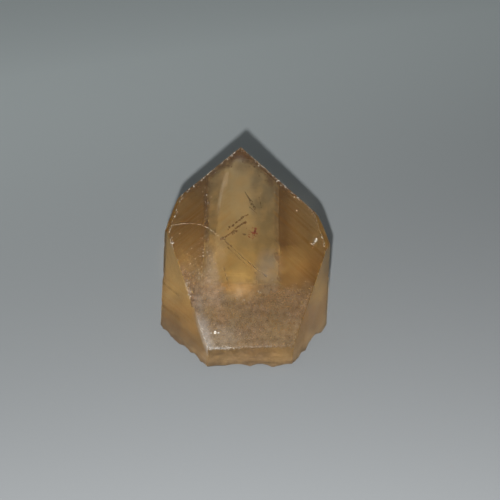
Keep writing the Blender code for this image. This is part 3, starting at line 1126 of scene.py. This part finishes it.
GOLDEN_SPOTS = [
    (0.035, -6.3, 13.8, 3.4, 6.0),
    (0.04, 8.3, 16.0, 5.6, 4.8),
    (0.02, -4.9, 18.6, 2.2, 4.4),
    (0.03, -10.0, 17.8, 4.8, 6.0),
    (0.02, -4.7, 6.0, 4.6, 2.7),
]
DARK_SPOTS = [
    (0.14, 0.3, 31.9, 3.0, 1.8),
    (0.06, 0.4, 21.0, 3.6, 2.2),
    (0.06, 1.4, 9.6, 5.2, 2.2),
    (0.18, -8.2, 28.2, 3.4, 2.8),
    (0.10, 7.9, 27.8, 3.2, 2.6),
    (0.08, 12.2, 23.4, 3.0, 4.4),
    (0.07, 10.2, 11.2, 2.4, 4.0),
]
ON_EDGE = 0.02  # millimetres: edges away from the big face, its front wall and the bruise are clear


def near_line(places, half_width, where=on_front):
    """1 on a line through places (x and height on one face), 0 beyond half_width, in mm."""
    distance = np.full(len(x), np.inf)
    for (x0, z0), (x1, z1) in zip(places, places[1:]):
        along = ((x - x0) * (x1 - x0) + (height - z0) * (z1 - z0)) / ((x1 - x0) ** 2 + (z1 - z0) ** 2)
        along = np.clip(along, 0, 1)
        apart = np.hypot(x - x0 - along * (x1 - x0), height - z0 - along * (z1 - z0))
        distance = np.minimum(distance, apart)
    return fade(distance, 0.3 * half_width, half_width) * where


def around(x0, z0, x_radius, z_radius, where=on_front):
    """1 in the middle of an ellipse on the big face or another, 0 at its rim."""
    return fade(np.hypot((x - x0) / x_radius, (height - z0) / z_radius), 0.1, 1.0) * where


def strongest(*shares, spots=()):
    """The largest of these shares and of a table's ellipses, at each point."""
    return np.maximum.reduce([*shares, *(share * around(*ellipse) for share, *ellipse in spots)])


streak_mask = near_line(PALE_STREAK, 0.42) * smooth_step(height, 22.9, 27.0)
streak_mask = np.maximum(streak_mask, around(-3.3, 29.5, 0.8, 1.5))
left_haze = smooth_step(-x, 5.2, 7.5) * fade(height + 3 * blur, 15.0, 23.0) * on_front
more_left = 1.15 - 0.35 * smooth_step(x, -6.0, 6.0)
milky = strongest(0.22 * frost_mask * more_left, 0.10 * left_haze)
cool = strongest(
    0.17 * bruise,
    0.04 * streak_mask,
    0.03 * around(13.0, 7.4, 2.4, 4.5, on_right_wall),
    spots=COOL_SPOTS,
)
golden = strongest(
    # painted glow over the window above the frost
    (0.07 + 0.06 * fade(height, 12.5, 13.9)) * around(-1.1, 13.9, 4.8, 3.7),
    0.035 * streak_mask,
    0.055 * around(6.2, 2.2, 3.6, 2.8, on_front_wall),
    0.075 * on_left_wall * smooth_step(height, 2.0, 8.0) * (1 - left_line),
    spots=GOLDEN_SPOTS,
)
dark = strongest(
    0.30 * rust,
    0.30 * near_line(LEFT_LINE, 0.6),
    0.16 * near_line(RIGHT_LINE, 0.7),
    *(0.12 * near_line(line, 0.40, on_left_wall) for line in WALL_LINES),
    # painted shade at the foot, where the crystal meets the floor
    0.16 * fade(height + blur, 0.3, 2.4) * ~on_base,
    spots=DARK_SPOTS,
)
haze = milky + cool + golden + dark
haze *= 1 - (second_gap < ON_EDGE) * ~(on_front | on_front_wall | (bruise > 0))
haze_marks = {
    "haze": haze,
    "cool": cool / np.maximum(milky + cool, SAME),
    "golden": golden / np.maximum(milky + cool + golden, SAME),
    "dark": dark / np.maximum(milky + cool + golden + dark, SAME),
}
print(f"before it is mottled, the haze hides {haze.max():.0%} at most")

# %% Make the haze
SHEET_UNDER, SHEET_OVER, LEAST_HAZE = 0.003, 0.011, 0.01  # millimetres over the skin, and a share


def sides_of(triangles):
    """Where each side of each triangle starts and ends, as two arrays of point numbers."""
    return np.concatenate([triangles[:, [0, 1]], triangles[:, [1, 2]], triangles[:, [2, 0]]]).T


def rim_of(triangles, count):
    """The sides that only one triangle has, which are those without a twin the other way round."""
    starts, ends = sides_of(triangles)
    alone = ~np.isin(starts * count + ends, ends * count + starts)
    return starts[alone], ends[alone]


def hazy_triangles(share):
    """The skin's triangles where share is over LEAST_HAZE, true or false for each.

    Where two areas touch in one point, the triangles round it are taken in, so no rim is pinched.
    """
    chosen = (share[skin_triangles] > LEAST_HAZE).any(1)
    pinched = True
    while pinched:
        starts, _ = rim_of(skin_triangles[chosen], len(share))
        touched = np.bincount(starts, minlength=len(share)) > 1
        chosen |= touched[skin_triangles].any(1)
        pinched = touched.any()
    return chosen


def sheet_over(chosen):
    """Some of the skin's triangles twice, one layer over the other, joined by a rim at the ends."""
    used, index = np.unique(skin_triangles[chosen], return_inverse=True)
    upper, under = index.reshape(-1, 3), len(used)
    a, b, c = (broken_points[skin_triangles[:, k]] for k in range(3))
    outward = np.zeros_like(broken_points)
    for corner in skin_triangles.T:
        np.add.at(outward, corner, np.cross(b - a, c - a))
    outward = outward[used] / np.linalg.norm(outward[used], axis=1)[:, None]
    layers = [broken_points[used] + outward * lift * MM for lift in (SHEET_OVER, SHEET_UNDER)]
    start, end = rim_of(upper, under)
    rim = [np.stack([end, start, start + under], 1), np.stack([end, start + under, end + under], 1)]
    triangles = np.concatenate([upper, upper[:, ::-1] + under, *rim])
    return np.clip(np.concatenate(layers), cad_low, cad_high), triangles, used


sheet_points, sheet_triangles, used = sheet_over(hazy_triangles(haze))
sheet_marks = {name: np.tile(values[used], 2) for name, values in haze_marks.items()}
sheet = add_mesh("surface_haze", sheet_points, sheet_triangles, sheet_marks)
sheet.visible_shadow = False
print(f"surface_haze: {len(sheet_triangles)} triangles")

# %% The haze's material
# The cool colour also paints a sheen, the golden one a glow, and the dark one the shade at the foot.
MILKY, ROSY, COOL = (0.19, 0.135, 0.076), (0.25, 0.155, 0.094), (0.50, 0.485, 0.455)
GOLDEN, DARK, HAZE_ROUGH = (0.72, 0.42, 0.13), (0.05, 0.028, 0.014), 0.6
ROSY_WAVES, DARK_WAVES, MOTTLE_WAVES = 260.0, 1300.0, 900.0  # waves a metre

haze_material, tree, shader = new_material("haze", HAZE_ROUGH)
place = object_place(tree)
rosy = scaled(tree, noise(tree, place, ROSY_WAVES), 0.4, 0.65, 0.0, 1.0)
flecks = scaled(tree, noise(tree, place, DARK_WAVES, 3.0), 0.4, 0.65, 0.6, 0.0)
color = mixed(tree, flecks, mixed(tree, rosy, MILKY, ROSY), DARK)
for name, tinge in (("cool", COOL), ("golden", GOLDEN), ("dark", DARK)):
    color = mixed(tree, mark(tree, name), color, tinge)
feed(shader.inputs["Base Color"], color)
mottled = scaled(tree, noise(tree, place, MOTTLE_WAVES, 3.0), 0.35, 0.65, 0.75, 1.25)
feed(shader.inputs["Alpha"], math_node(tree, "MULTIPLY", mark(tree, "haze"), mottled))
sheet.data.materials.append(haze_material)

# %% [markdown]
# ## Stage and camera
#
# One small lamp close by the camera, a little lower, lights it as a flash would. The lamp is two in
# one place: one lights the floor and all that is rough, and a weaker one gives the glints. A wide
# soft panel shows as a faint grey sheen in the big face. The floor is pale, and its colour is
# painted lighter to the back, where the lamp's light falls off, and lighter to the left than to the
# right, as painted light. The crystal gathers light into a warm patch on the floor behind it, which
# the floor's colour stands in for.

# %% Lamps
KEY_AZIMUTH, KEY_ELEVATION, KEY_DISTANCE, KEY_SIZE = -3.87, 25.98, 0.299, 0.004  # degrees, metres
KEY_WATTS, GLINT_WATTS = 1.2, 0.24
FILL_AZIMUTH, FILL_ELEVATION, FILL_DISTANCE, FILL_SIZE, FILL_WATTS = 0.0, 49.0, 0.60, 0.35, 0.06
LIT_FROM = Vector((0, 0, 15 * MM))


def direction(azimuth, elevation):
    """The way to a place in the sky: azimuth turns from -Y to +X."""
    a, e = math.radians(azimuth), math.radians(elevation)
    return Vector((math.sin(a) * math.cos(e), -math.cos(a) * math.cos(e), math.sin(e)))


def area_light(name, azimuth, elevation, distance, size, power):
    """A round lamp that faces the crystal's middle."""
    light = bpy.data.lights.new(name, "AREA")
    light.shape, light.size, light.energy = "DISK", size, power
    obj = in_scene(name, light)
    obj.location = LIT_FROM + direction(azimuth, elevation) * distance
    obj.rotation_mode = "QUATERNION"
    obj.rotation_quaternion = direction(azimuth, elevation).to_track_quat("Z", "Y")
    return obj


key = area_light("key", KEY_AZIMUTH, KEY_ELEVATION, KEY_DISTANCE, KEY_SIZE, KEY_WATTS)
key.visible_glossy = key.visible_transmission = False
glint = area_light("glint", KEY_AZIMUTH, KEY_ELEVATION, KEY_DISTANCE, KEY_SIZE, GLINT_WATTS)
glint.visible_diffuse = False
area_light("fill", FILL_AZIMUTH, FILL_ELEVATION, FILL_DISTANCE, FILL_SIZE, FILL_WATTS)
print(f"The key lamp is {KEY_DISTANCE:.3f} m away and {KEY_SIZE / MM:.0f} mm wide")

# %% Floor and room
# Painted light: the colour grows lighter to the back, where the lamp's light falls off.
FLOOR_COLORS = (0.36, 0.375, 0.385), (0.375, 0.40, 0.41), (0.80, 0.88, 0.88)  # from front to back
FLOOR_MIDDLE = 0.5  # where the second colour is, as a share of the way
# The slope tilts the painted light, so the floor is lighter to the left and darker to the right.
FLOOR_SIZE, FLOOR_FROM, FLOOR_TO, FLOOR_LEAN = 3.0, -0.041, 0.151, 0.35  # metres, and a slope
FLOOR_ROUGH, FLOOR_SHEEN = 0.9, 0.2
PATCH_MIDDLE, PATCH_RADII = (-2.0, 28.0, 0.0), (14.0, 26.0, 1.0)  # millimetres
PATCH_COLOR, PATCH_FULL, PATCH_GONE = (0.74, 0.68, 0.60), 0.35, 1.15  # and shares of the radii
ROOM_COLOR, ROOM_LIGHT = (0.93, 0.98, 1.0), 0.11


def painted_floor_light(tree, place):
    """Painted light: the colour at y - FLOOR_LEAN x, from FLOOR_COLORS between FLOOR_FROM and FLOOR_TO."""
    place = new_node(tree, "ShaderNodeSeparateXYZ", place).outputs
    back = math_node(tree, "SUBTRACT", place["Y"], math_node(tree, "MULTIPLY", place["X"], FLOOR_LEAN))
    made = new_node(tree, "ShaderNodeValToRGB", scaled(tree, back, FLOOR_FROM, FLOOR_TO, 0, 1))
    made.color_ramp.interpolation = "B_SPLINE"
    stops = made.color_ramp.elements
    stops.new(FLOOR_MIDDLE)
    for stop, color in zip(stops, FLOOR_COLORS):
        stop.color = (*color, 1)
    return made.outputs["Color"]


def patch_share(tree, place):
    """1 in the middle of the patch of gathered light, 0 outside its ellipse."""
    scale = [1 / (radius * MM) for radius in PATCH_RADII]
    shift = [-middle / radius for middle, radius in zip(PATCH_MIDDLE, PATCH_RADII)]
    place = new_node(tree, "ShaderNodeMapping", place, Scale=scale, Location=shift).outputs[0]
    length = new_node(tree, "ShaderNodeVectorMath", place)
    length.operation = "LENGTH"
    share = scaled(tree, length.outputs["Value"], PATCH_FULL, PATCH_GONE, 1, 0)
    share.node.interpolation_type = "SMOOTHSTEP"
    return share


def floor():
    """A level sheet, its colour painted lighter to the back, with the patch of gathered light on it."""
    mesh = bpy.data.meshes.new("floor")
    s = FLOOR_SIZE
    mesh.from_pydata([(-s, -s, 0), (s, -s, 0), (s, s, 0), (-s, s, 0)], [], [(0, 1, 2, 3)])
    obj = in_scene("floor", mesh)
    material, tree, shader = new_material("floor", FLOOR_ROUGH)
    mesh.materials.append(material)
    shader.inputs["Specular IOR Level"].default_value = FLOOR_SHEEN
    place = object_place(tree)
    color = mixed(tree, patch_share(tree, place), painted_floor_light(tree, place), PATCH_COLOR)
    feed(shader.inputs["Base Color"], color)


def room():
    """An even, dim light from all round."""
    world = bpy.data.worlds.new("studio")
    world.use_nodes = True
    background = world.node_tree.nodes["Background"]
    background.inputs["Color"].default_value = (*ROOM_COLOR, 1)
    background.inputs["Strength"].default_value = ROOM_LIGHT
    bpy.context.scene.world = world


floor()
room()
print(f"The floor grows lighter over {(FLOOR_TO - FLOOR_FROM) / MM:.0f} mm")

# %% Camera
CAMERA_AZIMUTH, CAMERA_ELEVATION, CAMERA_ROLL, CAMERA_DISTANCE = -3.15, 28.36, 0.5, 0.300
LENS, SENSOR, CLIP = 113.4, 36.0, 0.01  # millimetres, millimetres and metres
LOOK_HEIGHT, ASIDE, UPWARD = 16.0, 1.094, 1.262  # millimetres


def aim_camera():
    """Puts the camera at its distance from a place a little beside the crystal's middle."""
    back = direction(CAMERA_AZIMUTH, CAMERA_ELEVATION)
    level = Vector((0, 0, 1)).cross(back).normalized()
    turn = math.radians(CAMERA_ROLL)
    right = level * math.cos(turn) + back.cross(level) * math.sin(turn)
    up = back.cross(right)
    camera = bpy.data.cameras.new("camera")
    camera.lens, camera.sensor_width, camera.clip_start = LENS, SENSOR, CLIP
    obj = in_scene("camera", camera)
    obj.matrix_world = Matrix((right, up, back)).transposed().to_4x4()
    obj.location = Vector((0, 0, LOOK_HEIGHT * MM)) + (right * ASIDE + up * UPWARD) * MM
    obj.location += back * CAMERA_DISTANCE
    bpy.context.scene.camera = obj


aim_camera()
bpy.context.scene.view_settings.view_transform = "Standard"
print("The camera looks down by", CAMERA_ELEVATION, "degrees")

# %% Sizes
print("cad", [round(v / MM, 3) for v in (*cad_low, *cad_high)])
